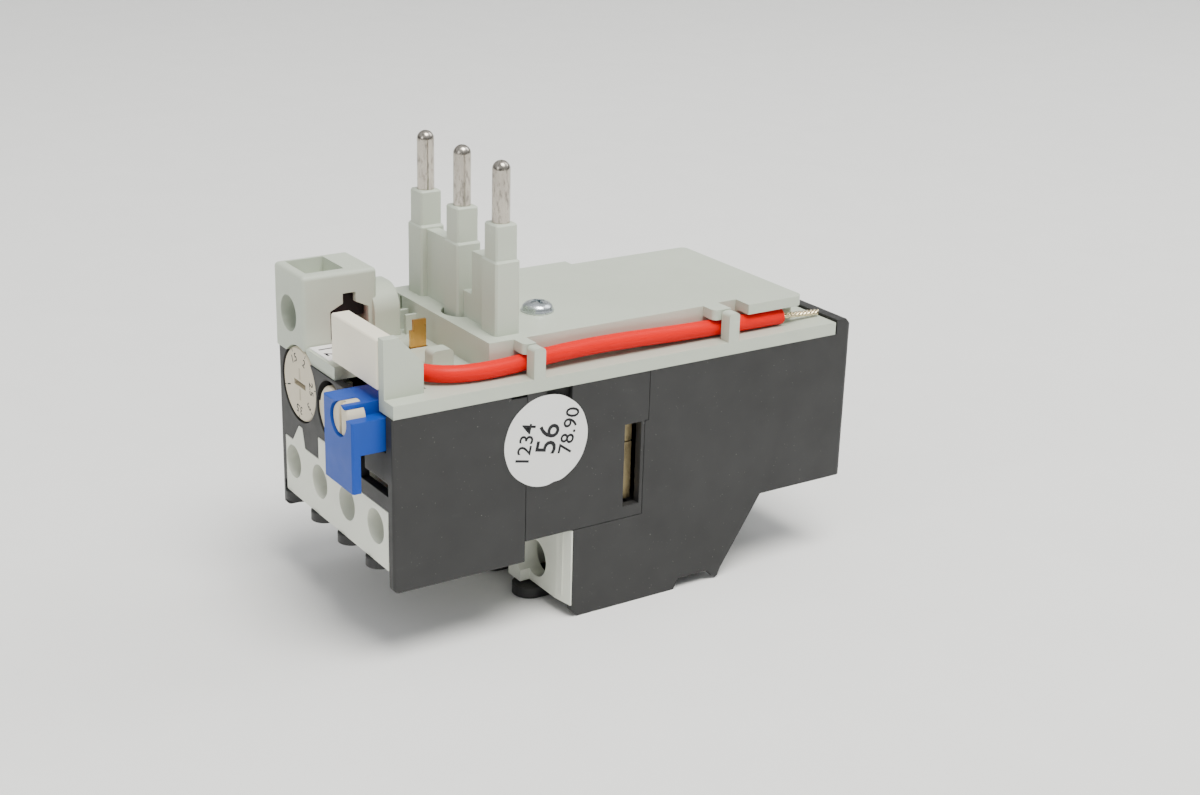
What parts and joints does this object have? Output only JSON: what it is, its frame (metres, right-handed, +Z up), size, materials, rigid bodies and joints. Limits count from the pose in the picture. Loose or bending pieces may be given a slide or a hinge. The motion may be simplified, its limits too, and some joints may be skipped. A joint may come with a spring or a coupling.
{
  "type": "thermal overload relay",
  "caption": "Thermal overload relay for a motor circuit, with round line pins in sleeves, setting dial, test and reset buttons, screw terminals and a coil lead clipped along the side",
  "frame": {"origin": "axis of the middle line pin, at the top of its sleeve", "axes": "+X to the right seen from the front, +Y from the front face to the rear, +Z up along the line pins"},
  "size_m": [0.0458, 0.1029, 0.0822],
  "materials": {
    "case_dark": "fine-grained black polyamide",
    "cover_grey": "light grey polyamide, satin",
    "insert_grey": "pale grey polyamide, satin",
    "marker_white": "off-white polyamide",
    "button_blue": "blue polyamide, satin",
    "dial_cream": "cream polyamide",
    "selector_cream": "cream polyamide",
    "test_grey": "pale grey polyamide",
    "lead_red": "red PVC insulation",
    "strand_tin": "tinned copper strands",
    "pin_steel": "nickel-plated contact pin",
    "screw_steel": "zinc-plated steel",
    "brass": "plain brass",
    "copper": "plain copper alloy strip",
    "bimetal": "rolled bimetal",
    "heater": "resistance ribbon",
    "label_white": "printed paper label"
  },
  "bodies": {
    "housing": {"rear_case": "case_dark", "front_case": "case_dark", "side_plate": "case_dark", "top_cover": "cover_grey", "cover_screw": "screw_steel", "coil_terminal_block": "cover_grey", "coil_terminal_clamp": "screw_steel", "coil_terminal_screw": "screw_steel", "marker_bar": "marker_white", "terminal_label": "label_white", "contact_tab": "copper", "lead_wire": "lead_red", "lead_strands": "strand_tin", "inspection_sticker": "label_white", "aux_insert": "insert_grey", "aux_screws": "screw_steel", "aux_clamps": "screw_steel", "nc_contacts": "brass", "no_contacts": "brass", "main_insert": "insert_grey", "main_screws": "screw_steel", "main_clamps": "screw_steel", "line_pin_l1": "pin_steel", "line_pin_l2": "pin_steel", "line_pin_l3": "pin_steel", "load_strap_1": "brass", "load_strap_2": "brass", "load_strap_3": "brass", "lever_pin": "screw_steel"},
    "dial": {"adjusting_dial": "dial_cream", "dial_cam": "insert_grey"},
    "setting_arm": {"setting_lever": "insert_grey"},
    "test_key": {"test_button": "test_grey"},
    "reset_key": {"reset_button": "button_blue"},
    "selector": {"selector_knob": "selector_cream"},
    "carrier": {"contact_carrier": "insert_grey", "nc_bridge": "copper", "no_bridge": "copper"},
    "slider": {"trip_slider": "insert_grey", "slider_end_plate": "brass"},
    "lever": {"trip_lever": "insert_grey", "compensation_strip": "bimetal"},
    "strip_1": {"bimetal_1": "bimetal", "heater_winding_1": "heater"},
    "strip_2": {"bimetal_2": "bimetal", "heater_winding_2": "heater"},
    "strip_3": {"bimetal_3": "bimetal", "heater_winding_3": "heater"}
  },
  "joints": [
    {"name": "dial_turn", "type": "hinge", "parent": "housing", "child": "dial", "pos_m": [-0.01165, -0.0265, -0.0323], "axis": [0, 1, 0], "range_deg": [-150, 150]},
    {"name": "setting_lever_turn", "type": "hinge", "parent": "housing", "child": "setting_arm", "pos_m": [-0.0061, -0.0202, -0.0403], "axis": [0, 1, 0], "range_deg": [-7, 7]},
    {"name": "test_press", "type": "slide", "parent": "housing", "child": "test_key", "axis": [0, 1, 0], "range_m": [0, 0.0015], "stiffness_N_per_m": 400, "springref_m": -0.002},
    {"name": "reset_press", "type": "slide", "parent": "housing", "child": "reset_key", "axis": [0, 1, 0], "range_m": [0, 0.0025], "stiffness_N_per_m": 400, "springref_m": -0.002},
    {"name": "selector_turn", "type": "hinge", "parent": "reset_key", "child": "selector", "pos_m": [0.01685, -0.032, -0.0283], "axis": [0, 1, 0], "range_deg": [0, 90]},
    {"name": "trip_slide", "type": "slide", "parent": "housing", "child": "slider", "axis": [-1, 0, 0], "range_m": [0, 0.0015], "stiffness_N_per_m": 400, "springref_m": -0.001},
    {"name": "trip_lever_turn", "type": "hinge", "parent": "housing", "child": "lever", "pos_m": [-0.01435, 0.0045, -0.0346], "axis": [0, 0, 1], "range_deg": [0, 7.3]},
    {"name": "carrier_slide", "type": "slide", "parent": "housing", "child": "carrier", "axis": [0, 1, 0], "range_m": [0, 0.0015]},
    {"name": "strip_bend_1", "type": "hinge", "parent": "housing", "child": "strip_1", "pos_m": [-0.01335, 0.063, -0.0416], "axis": [0, 0, -1], "range_deg": [0, 2.1]},
    {"name": "strip_bend_2", "type": "hinge", "parent": "housing", "child": "strip_2", "pos_m": [0, 0.063, -0.0416], "axis": [0, 0, -1], "range_deg": [0, 2.1]},
    {"name": "strip_bend_3", "type": "hinge", "parent": "housing", "child": "strip_3", "pos_m": [0.01335, 0.063, -0.0416], "axis": [0, 0, -1], "range_deg": [0, 2.1]}
  ],
  "couplings": [
    {"joint": "setting_lever_turn", "follows": "dial_turn", "ratio": 0.04297},
    {"joint": "trip_lever_turn", "follows": "trip_slide", "rad_per_m": 83.333},
    {"joint": "carrier_slide", "follows": "trip_slide", "ratio": 1},
    {"joint": "strip_bend_1", "follows": "trip_slide", "rad_per_m": 23.2},
    {"joint": "strip_bend_2", "follows": "trip_slide", "rad_per_m": 23.2},
    {"joint": "strip_bend_3", "follows": "trip_slide", "rad_per_m": 23.2}
  ]
}
